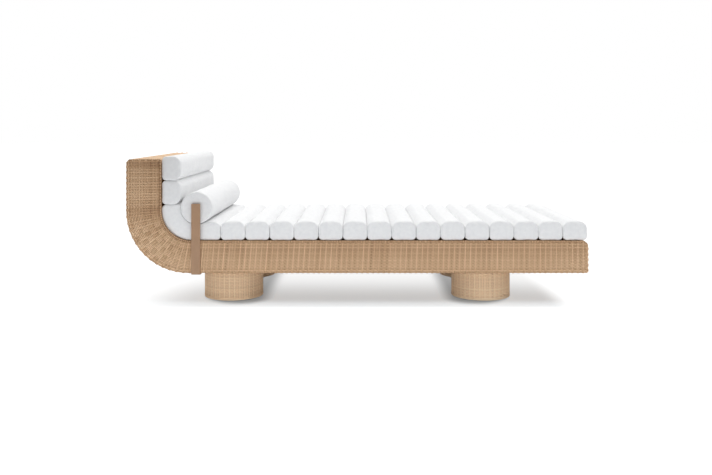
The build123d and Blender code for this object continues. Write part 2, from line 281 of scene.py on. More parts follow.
def tube(here, there):
    """Faces between two arrays of point numbers, whose last axis runs round the tube."""
    return np.stack([here, there, np.roll(there, -1, axis=-1), np.roll(here, -1, axis=-1)], axis=-1)


def lengths_along(points):
    """The length of a line of points up to each of them."""
    gaps = np.linalg.norm(np.diff(points, axis=0), axis=1)
    return np.concatenate([[0], np.cumsum(gaps)])


def values_at(at, lengths, values):
    """Pairs of values between those that are given at some lengths."""
    return np.stack([np.interp(at, lengths, values[:, k]) for k in (0, 1)], axis=-1)


# Cross-section of a strand: shares of its half width across and of its half height outwards
STRAND_SHARES = np.array([(-1, -0.6), (-0.5, 0.85), (0.5, 0.85), (1, -0.6)])


def strands(mesh, centre, outward, half_width, half_height, tones, closed=False):
    """Adds strands: centre and outward are arrays of strand, point and coordinate."""
    count, points = centre.shape[:2]
    outward = np.broadcast_to(outward, centre.shape)
    if closed:
        along = np.roll(centre, -1, axis=1) - np.roll(centre, 1, axis=1)
    else:
        along = np.gradient(centre, axis=1)
    across = unit(np.cross(along, outward))
    shape = (count, points, 1, 3)
    verts = (
        centre.reshape(shape)
        + across.reshape(shape) * (STRAND_SHARES[:, :1] * half_width)
        + outward.reshape(shape) * (STRAND_SHARES[:, 1:] * half_height)
    )
    sides = len(STRAND_SHARES)
    index = np.arange(count * points * sides).reshape(count, points, sides)
    here = index if closed else index[:, :-1]
    there = np.roll(index, -1, axis=1) if closed else index[:, 1:]
    nearer, further = here, np.roll(here, -1, axis=2)
    quads = np.stack([nearer, further, np.roll(there, -1, axis=2), there], axis=-1).reshape(-1, 4)
    if not closed:
        starts = index[:, 0, ::-1].reshape(-1, 4)
        ends = index[:, -1].reshape(-1, 4)
        quads = np.concatenate([quads, starts, ends])
    tones = np.asarray(tones).reshape(count, -1, 1)
    mesh.add(verts, quads, np.broadcast_to(tones, verts.shape[:-1]))


def tones_for(count, middle):
    """A tone for each strand, about a middle tone."""
    return middle + TONE_SPREAD * random_draw.standard_normal(count)


def weft_tones(count, height, middle=WEFT_TONE):
    """Tones of wefts, with painted shade on their relief: lighter where they pass over a stake and darker
    where they dip under one.
    Each batch of neighbouring rows is a little lighter or darker than the next."""
    batches = BATCH_SPREAD * random_draw.standard_normal(count // BATCH_ROWS + 1)
    rows = tones_for(count, middle) + np.repeat(batches, BATCH_ROWS)[:count]
    return rows[:, None] + PAINTED_RELIEF_SHADE * height / WEFT_WAVE


def stake_tone(number, calm=1):
    """Tone of a stake: every other one is lighter."""
    return STAKE_TONE + PAIR_TONE * calm * (-1) ** number


def shade(share):
    """Painted shade and light across a side: darker below the deck's edge, where less light falls, and
    lighter above the underside, lit from the floor.
    """
    darker = PAINTED_DECK_SHADE * np.clip(1 - (1 - share) * THICKNESS / SHADE_REACH, 0, 1)
    return PAINTED_UNDERSIDE_LIGHT * np.clip(1 - share * THICKNESS / SHADE_REACH, 0, 1) - darker


# Outline of the body

THICKNESS = DECK_Z - UNDERSIDE_Z
WOVEN_Y = SIDE_Y - EDGE_MARGIN
FLAT_LENGTH = FOOT_X - (HEAD_X + OUTER_BEND + FRONT_X + INNER_BEND) / 2
BEND_LENGTH = (OUTER_BEND + INNER_BEND) / 2 * math.pi / 2
UPRIGHT_LENGTH = TOP_Z - (UNDERSIDE_Z + OUTER_BEND + DECK_Z + INNER_BEND) / 2
TOTAL_LENGTH = FLAT_LENGTH + BEND_LENGTH + UPRIGHT_LENGTH
CALM_START = FLAT_LENGTH + CALM_REACH
BEND_FINISH = FLAT_LENGTH + BEND_LENGTH
OUTER_CENTRE = (HEAD_X + OUTER_BEND, UNDERSIDE_Z + OUTER_BEND)
INNER_CENTRE = (FRONT_X + INNER_BEND, DECK_Z + INNER_BEND)
STAKE_COUNT = round(TOTAL_LENGTH / STAKE_PITCH)
STAKE_STEP = TOTAL_LENGTH / STAKE_COUNT
WEFT_STEP = STAKE_STEP / POINTS_PER_STAKE


def edges_at(s):
    """X and Z of the outer and the inner edge at length s from the foot, and the outward direction."""
    flat = np.clip(s / FLAT_LENGTH, 0, 1)
    angle = np.clip((s - FLAT_LENGTH) / BEND_LENGTH, 0, 1) * math.pi / 2
    rise = np.clip((s - FLAT_LENGTH - BEND_LENGTH) / UPRIGHT_LENGTH, 0, 1)
    way = np.stack([-np.sin(angle), -np.cos(angle)], axis=-1)

    def edge(centre, radius):
        x = FOOT_X + flat * (centre[0] - FOOT_X) + radius * way[..., 0]
        z = centre[1] + radius * way[..., 1] + rise * (TOP_Z - centre[1])
        return np.stack([x, z], axis=-1)

    return edge(OUTER_CENTRE, OUTER_BEND), edge(INNER_CENTRE, INNER_BEND), way


BANDS = BATCH_SPREAD * random_draw.standard_normal(STAKE_COUNT)


def calm_at(s):
    """Share of the weave's relief and stripes at length s from the foot: less past the bend's start."""
    return np.interp(s, [FLAT_LENGTH, CALM_START], [1, HEADBOARD_CALM])


def band_at(s):
    """Change of tone at length s from the foot, the same for a few neighbouring stakes, with painted shade
    that darkens the headboard, where less light falls.
    """
    share = np.interp(s, [FLAT_LENGTH, BEND_FINISH], [FLAT_BAND_SHARE, 1])
    darker = np.interp(s, [BEND_FINISH - CALM_REACH, BEND_FINISH], [0, PAINTED_HEADBOARD_SHADE])
    return BANDS[(s / STAKE_STEP / BATCH_STAKES).astype(int)] * share - darker


def check_at(s, row):
    """Change of tone of a weft round the bend, where the weave shows as light and dark checks."""
    places = [FLAT_LENGTH, CALM_START, BEND_FINISH - CALM_REACH, BEND_FINISH]
    check = (s / STAKE_STEP / CHECK_STAKES).astype(int) + row // CHECK_ROWS
    return CHECK_TONE * np.interp(s, places, [0, 1, 1, 0]) * (-1.0) ** check


def corner_loss(distance, radius):
    """How far a rounded corner draws in a line that runs at this distance from the edge."""
    short = np.clip(radius - distance, 0, radius)
    return radius - np.sqrt(radius * radius - short * short)


def rounded_outline(corners, radii, steps):
    """Points round a polygon whose corners are arcs of the given radii."""
    points = []
    share = np.arange(steps + 1)[:, None] / steps
    for i, radius in enumerate(radii):
        here = np.array(corners[i])
        before = unit(np.array(corners[i - 1]) - here)
        after = unit(np.array(corners[(i + 1) % len(corners)]) - here)
        if radius <= 0:
            points.append(here)
            continue
        half = math.acos(np.clip(before @ after, -1, 1)) / 2
        centre = here + unit(before + after) * radius / math.sin(half)
        start = here + before * radius / math.tan(half) - centre
        finish = here + after * radius / math.tan(half) - centre
        points.extend(centre + unit(start * (1 - share) + finish * share) * radius)
    return np.array(points)


def body_outline(inset):
    """The side outline of the body, drawn in by inset, from the underside's foot end round."""
    corners = [
        (FOOT_X - inset, UNDERSIDE_Z + inset),
        (FOOT_X - inset, DECK_Z - inset),
        (FRONT_X - inset, DECK_Z - inset),
        (FRONT_X - inset, TOP_Z - inset),
        (HEAD_X + inset, TOP_Z - inset),
        (HEAD_X + inset, UNDERSIDE_Z + inset),
    ]
    radii = [
        END_BOTTOM_RADIUS - inset,
        END_TOP_RADIUS - inset,
        INNER_BEND + inset,
        FRONT_RADIUS - inset,
        BACK_RADIUS - inset,
        OUTER_BEND - inset,
    ]
    return rounded_outline(corners, radii, OUTLINE_STEPS)


def slab(mesh, outline, low_y, high_y):
    """Adds a closed shell, painted dark as the shade behind the weave, between two places in Y over an
    outline in X and Z.
    """
    ahead = np.roll(outline, -1, axis=0)
    if (outline[:, 0] * ahead[:, 1] - ahead[:, 0] * outline[:, 1]).sum() < 0:
        outline = outline[::-1]
    count = len(outline)
    low, high = in_space(outline, low_y), in_space(outline, high_y)
    here = np.arange(count)
    there = np.roll(here, -1)
    cover = np.array(tessellate_polygon([[Vector(point) for point in low]]))
    first, second, third = outline[cover[:, 0]], outline[cover[:, 1]], outline[cover[:, 2]]
    turned = np.cross(second - first, third - first) < 0
    cover[turned] = cover[turned][:, ::-1]
    start = mesh.add_points(np.concatenate([low, high]), BACKING_SHADE_TONE)
    mesh.add_faces(np.stack([here, here + count, there + count, there], axis=-1) + start)
    mesh.add_faces(np.concatenate([cover, cover[:, ::-1] + count]) + start)


# Nodes and materials


def set_inputs(node, inputs):
    """Gives inputs, by name or place, their values or links from the sockets that they come from."""
    for name, value in inputs.items():
        socket = node.inputs[name if isinstance(name, int) else name.replace("_", " ")]
        if isinstance(value, bpy.types.NodeSocket):
            node.id_data.links.new(value, socket)
        elif value is not None:
            socket.default_value = value


def add_node(tree, kind, **inputs):
    node = tree.nodes.new(kind)
    set_inputs(node, inputs)
    return node


def calculate(tree, kind, operation, *sources):
    """The result of a Math or VectorMath node."""
    node = tree.nodes.new(f"ShaderNode{kind}")
    node.operation = operation
    set_inputs(node, dict(enumerate(sources)))
    return node.outputs["Value" if kind == "Math" or operation == "LENGTH" else "Vector"]


def map_range(tree, source, start, finish, first=0, last=1, kind="SMOOTHSTEP"):
    """A source that runs from start to finish, turned into one that runs from first to last."""
    ends = {"From_Min": start, "From_Max": finish, "To_Min": first, "To_Max": last}
    node = add_node(tree, "ShaderNodeMapRange", Value=source, **ends)
    node.interpolation_type = kind
    return node.outputs["Result"]


def mix(tree, factor, first, second):
    """A mix of two shaders, where no first one is black."""
    node = tree.nodes.new("ShaderNodeMixShader")
    set_inputs(node, {0: factor, 1: first, 2: second})
    return node.outputs[0]


def noise(tree, where, scale, detail):
    return add_node(tree, "ShaderNodeTexNoise", Vector=where, Scale=scale, Detail=detail).outputs["Fac"]


def linear(red, green, blue):
    """A colour written as it shows on a screen, from 0 to 255, as scene-linear values."""
    channels = [c / 255 for c in (red, green, blue)]
    return [c / 12.92 if c <= 0.04045 else ((c + 0.055) / 1.055) ** 2.4 for c in channels] + [1]


def ramp(tree, factor, *stops):
    """The colour at a factor, between stops of a place and a colour."""
    node = add_node(tree, "ShaderNodeValToRGB", Fac=factor)
    elements = node.color_ramp.elements
    while len(elements) < len(stops):
        elements.new(0.5)
    for element, (position, colour) in zip(elements, stops):
        element.position = position
        element.color = colour
    return node.outputs["Color"]


def new_material(name, **inputs):
    """A material whose shader has these inputs, its node tree, and the places of its points."""
    material = bpy.data.materials.new(name)
    material.use_nodes = True
    tree = material.node_tree
    set_inputs(tree.nodes["Principled BSDF"], inputs)
    return material, tree, tree.nodes.new("ShaderNodeTexCoord").outputs["Object"]


def paint(tree, colour, relief, strength, distance):
    """Gives a material's shader its colour and its fine relief."""
    bump = add_node(tree, "ShaderNodeBump", Height=relief, Strength=strength, Distance=distance)
    set_inputs(tree.nodes["Principled BSDF"], {"Base_Color": colour, "Normal": bump.outputs["Normal"]})


def wicker_material():
    """Flat synthetic cane: each strand has its own tone, with fine streaks and a dull sheen."""
    material, tree, where = new_material("wicker", Roughness=0.5, Specular_IOR_Level=0.35)
    strand = tree.nodes.new("ShaderNodeAttribute")
    strand.attribute_name = "tone"
    streaks = noise(tree, where, 420, 3)
    patches = noise(tree, where, 9, 2)
    tone = calculate(tree, "Math", "MULTIPLY_ADD", streaks, STREAK_TONE, strand.outputs["Fac"])
    tone = calculate(tree, "Math", "MULTIPLY_ADD", patches, PATCH_TONE, tone)
    colour = ramp(
        tree,
        map_range(tree, tone, *TONE_RANGE, kind="LINEAR"),
        (0.0, linear(94, 65, 43)),
        (0.223, linear(165, 127, 94)),
        (0.42, linear(202, 164, 127)),
        (0.643, linear(228, 193, 156)),
        (0.857, linear(254, 219, 181)),
        (1.0, linear(255, 229, 195)),
    )
    paint(tree, colour, streaks, 0.25, 0.4 * MM)
    return material


def fabric_material():
    """White outdoor canvas: a plain weave of fine yarns with a soft, dull surface."""
    material, tree, where = new_material("canvas", Roughness=0.9, Specular_IOR_Level=0.2)
    yarns = []
    for direction in "XYZ":
        wave = add_node(tree, "ShaderNodeTexWave", Vector=where, Scale=230, Distortion=1.2, Detail=1)
        wave.bands_direction = direction
        yarns.append(wave.outputs["Fac"])
    weave = calculate(tree, "Math", "ADD", calculate(tree, "Math", "ADD", *yarns[:2]), yarns[2])
    slubs = noise(tree, where, 60, 4)
    colour = ramp(tree, slubs, (0.3, linear(240, 240, 241)), (0.7, linear(247, 247, 247)))
    paint(tree, colour, weave, 0.25, 0.3 * MM)
    return material


def rigid_material(name, dark, light, clouds, grain, strength, **inputs):
    """A hard surface with clouds of two colours and a grain, both noises of a scale and a detail."""
    material, tree, where = new_material(name, **inputs)
    colour = ramp(tree, noise(tree, where, *clouds), (0.3, dark), (0.7, light))
    paint(tree, colour, noise(tree, where, *grain), strength, 0.2 * MM)
    return material


def coated_material():
    """Brown powder coat on the brackets, with a faint orange-peel surface."""
    dark, light = linear(166, 132, 104), linear(176, 141, 112)
    surface = {"Roughness": 0.55, "Specular_IOR_Level": 0.4}
    return rigid_material("bracket_coat", dark, light, (14, 3), (900, 2), 0.15, **surface)


def metal_material(name, colour, roughness):
    """Bare metal with fine mill marks."""
    dark = [channel * 0.8 for channel in colour[:3]] + [1]
    surface = {"Roughness": roughness, "Metallic": 1.0}
    return rigid_material(name, dark, colour, (300, 5), (300, 5), 0.2, **surface)


def plastic_material():
    """Black moulded plastic with a fine grain."""
    dark, light = linear(34, 33, 32), linear(44, 43, 42)
    surface = {"Roughness": 0.6, "Specular_IOR_Level": 0.4}
    return rigid_material("black_plastic", dark, light, (700, 2), (700, 2), 0.2, **surface)


wicker = wicker_material()
canvas = fabric_material()
coat = coated_material()
aluminium = metal_material("frame_aluminium", linear(205, 206, 208), 0.4)
steel = metal_material("fastener_steel", linear(190, 190, 192), 0.3)
plastic = plastic_material()


def place(obj, body, slot, *replaced):
    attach(obj, body)
    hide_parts(*replaced)


# Woven body


def weave_wave(s, row):
    """Height of a weft over the stakes: over and under by turns, with the next row the other way."""
    return WEFT_WAVE * np.cos(math.pi * (s / STAKE_STEP + row))


def side_wefts(mesh, sign):
    """The rows that follow the body's length and its bend, on the side of that sign. A row keeps its
    share of the way from the outer to the inner edge."""
    woven = THICKNESS - 2 * EDGE_MARGIN
    count = round(woven / ROW_PITCH)
    rows = (EDGE_MARGIN + np.arange(count + 1) * woven / count) / THICKNESS
    row_tones = weft_tones(len(rows), np.zeros(1)) + shade(rows)[:, None]
    for number, share in enumerate(rows):
        from_outer, from_inner = share * THICKNESS, (1 - share) * THICKNESS
        foot_loss = max(corner_loss(from_outer, END_BOTTOM_RADIUS), corner_loss(from_inner, END_TOP_RADIUS))
        head_loss = max(corner_loss(from_outer, BACK_RADIUS), corner_loss(from_inner, FRONT_RADIUS))
        start = EDGE_MARGIN + foot_loss
        finish = TOTAL_LENGTH - EDGE_MARGIN - head_loss
        between = np.arange(math.ceil(start / WEFT_STEP), math.floor(finish / WEFT_STEP) + 1)
        s = np.concatenate([[start], between * WEFT_STEP, [finish]])
        outer, inner, _ = edges_at(s)
        half_width = WEFT_HALF_WIDTH * np.linalg.norm(inner - outer, axis=1) / THICKNESS
        height = weave_wave(s, number) * calm_at(s)
        y = sign * (SIDE_Y - STRAND_DEPTH + height)
        centre = in_space(outer + (inner - outer) * share, y)[None]
        # Painted shade: the row in the groove beside the rolled cord is darker
        in_groove = (s > FLAT_LENGTH) & (CORD_HALF_WIDTH < from_inner - WEFT_HALF_WIDTH)
        in_groove &= from_inner < GROOVE_REACH
        tones = row_tones[number] + PAINTED_RELIEF_SHADE * height / WEFT_WAVE + GROOVE_SHADE * in_groove
        tones += band_at(s) + check_at(s, number)
        strands(mesh, centre, (0, sign, 0), half_width[:, None, None], WEFT_HALF_HEIGHT, tones)


def side_stakes(mesh, sign):
    """Straight stakes across the side, under and over the rows."""
    for number in range(STAKE_COUNT + 1):
        s = np.clip(number * STAKE_STEP, EDGE_MARGIN, TOTAL_LENGTH - EDGE_MARGIN)
        from_head = TOTAL_LENGTH - s
        low = max(corner_loss(s, END_BOTTOM_RADIUS), corner_loss(from_head, BACK_RADIUS))
        high = max(corner_loss(s, END_TOP_RADIUS), corner_loss(from_head, FRONT_RADIUS))
        places = np.linspace(low + EDGE_MARGIN, THICKNESS - high - EDGE_MARGIN, STAKE_POINTS)
        share = places / THICKNESS
        outer, inner, _ = edges_at(np.full(STAKE_POINTS, s))
        flat = outer + (inner - outer) * share[:, None]
        centre = in_space(flat, sign * (SIDE_Y - STRAND_DEPTH))[None]
        tones = tones_for(1, stake_tone(number, calm_at(s))) + shade(share) + band_at(s)
        strands(mesh, centre, (0, sign, 0), STAKE_HALF_WIDTH, STAKE_HALF_HEIGHT, tones)


def edge_cord(mesh, sign):
    """The rolled border along the inside of the bend and up the headboard's front."""
    s = np.arange(FLAT_LENGTH, TOTAL_LENGTH - FRONT_RADIUS, CORD_STEP)
    _, inner, way = edges_at(s)
    centre = in_space(inner + way * CORD_HALF_WIDTH, sign * (SIDE_Y - CORD_DEPTH))[None]
    tones = CORD_TONE + CORD_TWIST_TONE * np.cos(2 * math.pi * s / CORD_TWIST)
    strands(mesh, centre, (0, sign, 0), CORD_HALF_WIDTH, CORD_HALF_HEIGHT, tones)


def edge_wraps(mesh, sign):
    """Short strands that carry the stakes round the side's edges."""
    turn = np.linspace(0, math.pi / 2, WRAP_TURN_POINTS)
    knee = WRAP_REACH * WRAP_KNEE_SHARE
    # Distance in from the side's plane and from the edge, along the wrap
    from_side = np.concatenate([[0, 0], WRAP_RADIUS * (1 - np.cos(turn)), [knee, WRAP_REACH]])
    from_edge = np.concatenate([[WRAP_REACH, knee], WRAP_RADIUS * (1 - np.sin(turn)), [0, 0]])
    lift = np.concatenate([[0, WRAP_KNEE_SHARE], np.ones(WRAP_TURN_POINTS), [WRAP_KNEE_SHARE, 0]])
    rise = lift * WRAP_RISE - STRAND_DEPTH + WRAP_HALF_HEIGHT / 2
    tilt = np.concatenate([[0, 0], turn, [math.pi / 2, math.pi / 2]])

    def wrap(points, ways, alongs, shifts=(-WRAP_SPREAD, WRAP_SPREAD), tone=WRAP_TONE, darker=0):
        """Wraps at edge points in X and Z, whose outward ways are given."""
        for shift in shifts:
            out = ways[:, None] * (np.sin(tilt) * rise - from_edge)[:, None]
            y = sign * (SIDE_Y - from_side + np.cos(tilt) * rise)
            centre = in_space((points + alongs * shift)[:, None] + out, y)
            outward = in_space(ways[:, None] * np.sin(tilt)[:, None], sign * np.cos(tilt))
            # Painted shade: a wrap darkens as it turns away over the edge
            tones = tones_for(len(points), tone)[:, None] - darker * np.sin(tilt)
            strands(mesh, centre, outward, WRAP_HALF_WIDTH, WRAP_HALF_HEIGHT, tones)

    s = np.arange(1, STAKE_COUNT) * STAKE_STEP
    outer, inner, way = edges_at(s)
    along = np.stack([-way[:, 1], way[:, 0]], axis=-1)
    paired = (np.arange(len(s)) % 2 == 1) & (s < TOTAL_LENGTH - BACK_RADIUS - WRAP_SPREAD)
    wrap(outer[paired], way[paired], along[paired], darker=PAINTED_WRAP_SHADE)
    # Single wraps along the deck, darkened by the painted shade below the deck's edge
    on_deck = (s > END_TOP_RADIUS) & (s < FLAT_LENGTH)
    wrap(inner[on_deck], -way[on_deck], along[on_deck], (0,), WRAP_TONE - PAINTED_DECK_SHADE)
    for start, length, way, along in (
        ((FOOT_X, UNDERSIDE_Z), THICKNESS - END_TOP_RADIUS, (1, 0), (0, 1)),
        ((HEAD_X + BACK_RADIUS, TOP_Z), FRONT_X - HEAD_X - BACK_RADIUS, (0, 1), (1, 0)),
    ):
        count = int(length / WRAP_PITCH)
        ways, alongs = np.array([way]), np.array([along])
        steps = (np.arange(count) + 0.5)[:, None] * length / count
        wrap(np.array([start]) + steps * alongs, ways, alongs)


def make_side(name, sign, node):
    mesh = Mesh()
    near = sign * (SIDE_Y - BACKING_DEPTH)
    slab(mesh, body_outline(BACKING_DEPTH), *sorted((near, near - sign * BACKING_THICKNESS)))
    side_wefts(mesh, sign)
    side_stakes(mesh, sign)
    edge_cord(mesh, sign)
    edge_wraps(mesh, sign)
    place(mesh.finish(name, wicker), "root", "wicker", node)

def outline_path(first, last, step):
    """Points, outward ways and lengths along the body's outer outline between two lengths."""
    s = np.linspace(first, last, round((last - first) / step) + 1)
    outer, _, way = edges_at(s)
    return outer, way, s


def even_rows(pitch):
    """Places in Y of wefts at about this pitch, over the whole width."""
    count = round(2 * WOVEN_Y / pitch)
    return -WOVEN_Y + np.arange(count + 1) * 2 * WOVEN_Y / count


def path_wefts(mesh, points, ways, s, y, lighter=0):
    """Wefts at places in Y that follow a path in X and Z, over stakes along Y."""
    wave = weave_wave(s[None, :], np.arange(len(y))[:, None])
    flat = points[None] + ways[None] * (wave - STRAND_DEPTH)[..., None]
    tones = weft_tones(len(y), wave) + lighter
    centre, outward = in_space(flat, y[:, None]), in_space(ways, 0)
    strands(mesh, centre, outward, WEFT_HALF_WIDTH, WEFT_HALF_HEIGHT, tones)


def path_stakes(mesh, points, ways, lighter=0):
    """Straight stakes across the lounger at the given points."""
    y = np.linspace(-WOVEN_Y, WOVEN_Y, CROSS_STAKE_POINTS)
    flat = np.repeat((points - ways * STRAND_DEPTH)[:, None], CROSS_STAKE_POINTS, axis=1)
    tones = tones_for(len(points), stake_tone(np.arange(len(points)))) + lighter
    centre, outward = in_space(flat, y), in_space(ways, 0)[:, None]
    strands(mesh, centre, outward, STAKE_HALF_WIDTH, STAKE_HALF_HEIGHT, tones)


def backing(mesh, points, ways):
    """The shell under the strands that follow a path in X and Z, painted dark as the shade behind them."""
    near = points - ways * BACKING_DEPTH
    far = near - ways * BACKING_THICKNESS
    half = SIDE_Y - BACKING_DEPTH
    slab(mesh, np.concatenate([near, far[::-1]]), -half, half)


def make_back():
    """The underside, with wefts wide apart and one point a stake, the bend and the headboard's back."""
    mesh = Mesh()
    first = END_TOP_RADIUS
    last = TOTAL_LENGTH - BACK_RADIUS
    points, ways, _ = outline_path(first, last, STAKE_STEP)
    backing(mesh, points, ways)
    start = math.floor(first / STAKE_STEP) * STAKE_STEP
    bend_start = math.floor(FLAT_LENGTH / STAKE_STEP - 1) * STAKE_STEP
    path_wefts(mesh, *outline_path(start, bend_start, STAKE_STEP), even_rows(UNDERSIDE_ROW_PITCH))
    path_wefts(mesh, *outline_path(bend_start, last, WEFT_STEP), even_rows(ROW_PITCH))
    stakes = np.arange(math.ceil(first / STAKE_STEP), last / STAKE_STEP)
    points, _, ways = edges_at(stakes * STAKE_STEP)
    path_stakes(mesh, points, ways)
    place(mesh.finish("weave_back", wicker), "root", "wicker", "woven_back_skin")


def make_end(name, node, corners, radii, lighter=0):
    """The weave over the headboard's cap or the foot end, along a rounded path of corners."""
    mesh = Mesh()
    path = rounded_outline(corners, radii, END_STEPS)
    lengths = lengths_along(path)
    s = np.linspace(0, lengths[-1], round(lengths[-1] / WEFT_STEP) + 1)
    points = values_at(s, lengths, path)
    tangent = unit(np.gradient(points, axis=0))
    ways = np.stack([-tangent[:, 1], tangent[:, 0]], axis=-1)
    backing(mesh, points, ways)
    path_wefts(mesh, points, ways, s, even_rows(ROW_PITCH), lighter)
    at = np.arange(int(s[-1] / STAKE_STEP) + 1) * STAKE_STEP
    path_stakes(mesh, values_at(at, s, points), unit(values_at(at, s, ways)), lighter)
    place(mesh.finish(name, wicker), "root", "wicker", node)


def make_deck():
    """The deck and the headboard's front, which the pad covers but for a strip at each side."""
    mesh = Mesh()
    length = TOTAL_LENGTH - FRONT_RADIUS - END_TOP_RADIUS
    s = END_TOP_RADIUS + np.linspace(0, length, round(length / WEFT_STEP) + 1)
    _, points, ways = edges_at(s)
    backing(mesh, points, -ways)
    for sign in (-1, 1):
        y = sign * (WOVEN_Y - np.arange(DECK_ROWS) * ROW_PITCH)
        path_wefts(mesh, points, -ways, s, y)
    place(mesh.finish("weave_deck", wicker), "root", "wicker", "woven_deck_skin")


def make_drum(name, node):
    """A woven drum: rows round it over upright stakes, with a plain rim at the floor."""
    mesh = Mesh()
    low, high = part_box(node)
    axis = np.array([(low[0] + high[0]) / 2, (low[1] + high[1]) / 2, 0])
    radius = (high[1] - low[1]) / 2
    points = DRUM_STAKES * POINTS_PER_STAKE
    ways = around(points)
    count = round((high[2] - low[2] - 2 * WEFT_HALF_WIDTH) / ROW_PITCH)
    row = np.arange(count + 1)[:, None]
    wave = WEFT_WAVE * np.cos(math.pi * (np.arange(points) / POINTS_PER_STAKE + row))
    wave[:DRUM_RIM_ROWS] = DRUM_RIM_RISE
    centre = axis + ways * (radius - STRAND_DEPTH + wave)[..., None]
    heights = np.linspace(low[2] + WEFT_HALF_WIDTH, high[2] - WEFT_HALF_WIDTH, count + 1)
    centre[..., 2] = heights[:, None]
    # Painted light: the drums' strands are lighter, for the light that the floor throws on the feet
    tones = weft_tones(count + 1, wave, WEFT_TONE + PAINTED_DRUM_LIGHT)
    strands(mesh, centre, ways, WEFT_HALF_WIDTH, WEFT_HALF_HEIGHT, tones, closed=True)
    ways = around(DRUM_STAKES)[:, None]
    centre = np.repeat(axis + ways * (radius - STRAND_DEPTH), DRUM_STAKE_POINTS, axis=1)
    centre[..., 2] = np.linspace(low[2], high[2], DRUM_STAKE_POINTS)
    tones = tones_for(DRUM_STAKES, stake_tone(np.arange(DRUM_STAKES)) + PAINTED_DRUM_LIGHT)
    strands(mesh, centre, ways, STAKE_HALF_WIDTH, STAKE_HALF_HEIGHT, tones)
    # Backing shell, painted dark as the shade behind the weave
    outer = radius - BACKING_DEPTH
    inner = outer - BACKING_THICKNESS
    shell = axis + around(DRUM_SHELL_POINTS)[:, None] * np.array([[inner], [outer], [outer], [inner]])
    shell[..., 2] = low[2], low[2], high[2], high[2]
    index = np.arange(shell[..., 0].size).reshape(shell.shape[:2])
    mesh.add(shell, tube(index, np.roll(index, -1, axis=0)), BACKING_SHADE_TONE)
    place(mesh.finish(name, wicker), "root", "wicker", node)


make_side("weave_side_right", -1, "woven_side_right")
make_side("weave_side_left", 1, "woven_side_left")
make_back()
make_deck()
make_end(
    "weave_cap",
    "woven_head_cap",
    [(HEAD_X, TOP_Z - BACK_RADIUS), (HEAD_X, TOP_Z), (FRONT_X, TOP_Z), (FRONT_X, TOP_Z - BACK_RADIUS)],
    [0, BACK_RADIUS, FRONT_RADIUS, 0],
    CAP_TONE,
)
make_end(
    "weave_foot_end",
    "woven_foot_panel",
    [(end_low[0], DECK_Z), (FOOT_X, DECK_Z), (FOOT_X, UNDERSIDE_Z), (end_low[0], UNDERSIDE_Z)],
    [0, END_TOP_RADIUS, END_BOTTOM_RADIUS, 0],
)
for corner in ("head_right", "head_left", "foot_right", "foot_left"):
    make_drum(f"weave_drum_{corner}", f"foot_weave_{corner}")


# Cushions


def even(outline, spacing):
    """The closed outline resampled at even steps."""
    closed = np.concatenate([outline, outline[:1]])
    lengths = lengths_along(closed)
    count = round(lengths[-1] / spacing)
    return values_at(np.arange(count) * lengths[-1] / count, lengths, closed)


def drawn_in(outline, amount):
    """The outline, which turns from +X to +Z, drawn in by an amount."""
    tangent = unit(np.roll(outline, -1, axis=0) - np.roll(outline, 1, axis=0))
    return outline + np.stack([-tangent[:, 1], tangent[:, 0]], axis=-1) * amount


def inside(points, polygon):
    """Which points lie inside the polygon."""
    found = np.zeros(len(points), bool)
    for (x0, z0), (x1, z1) in zip(polygon, np.roll(polygon, -1, axis=0)):
        if z0 == z1:
            continue
        crossed = (z0 > points[:, 1]) != (z1 > points[:, 1])
        at = x0 + (points[:, 1] - z0) / (z1 - z0) * (x1 - x0)
        found ^= crossed & (points[:, 0] < at)
    return found


def end_cover(ring):
    """Triangles over a ring, with a net of points inside it."""
    low, high = ring.min(axis=0), ring.max(axis=0)
    xs = np.arange(low[0], high[0], NET_STEP)
    zs = np.arange(low[1], high[1], NET_STEP * NET_RISE_SHARE)
    net = np.array([(x + (row % 2) * NET_STEP / 2, z) for row, z in enumerate(zs) for x in xs])
    net = net[inside(net, ring)]
    clear = np.linalg.norm(net[:, None] - ring[None], axis=2).min(axis=1) > NET_STEP * NET_CLEAR_SHARE
    net = net[clear]
    points = [Vector(point) for point in np.concatenate([ring, net])]
    edges = [(i, (i + 1) % len(ring)) for i in range(len(ring))]
    result = delaunay_2d_cdt(points, edges, [], 1, NET_TOLERANCE)
    origin = [found[0] for found in result[3]]
    return net, np.array([[origin[i] for i in face] for face in result[2]])


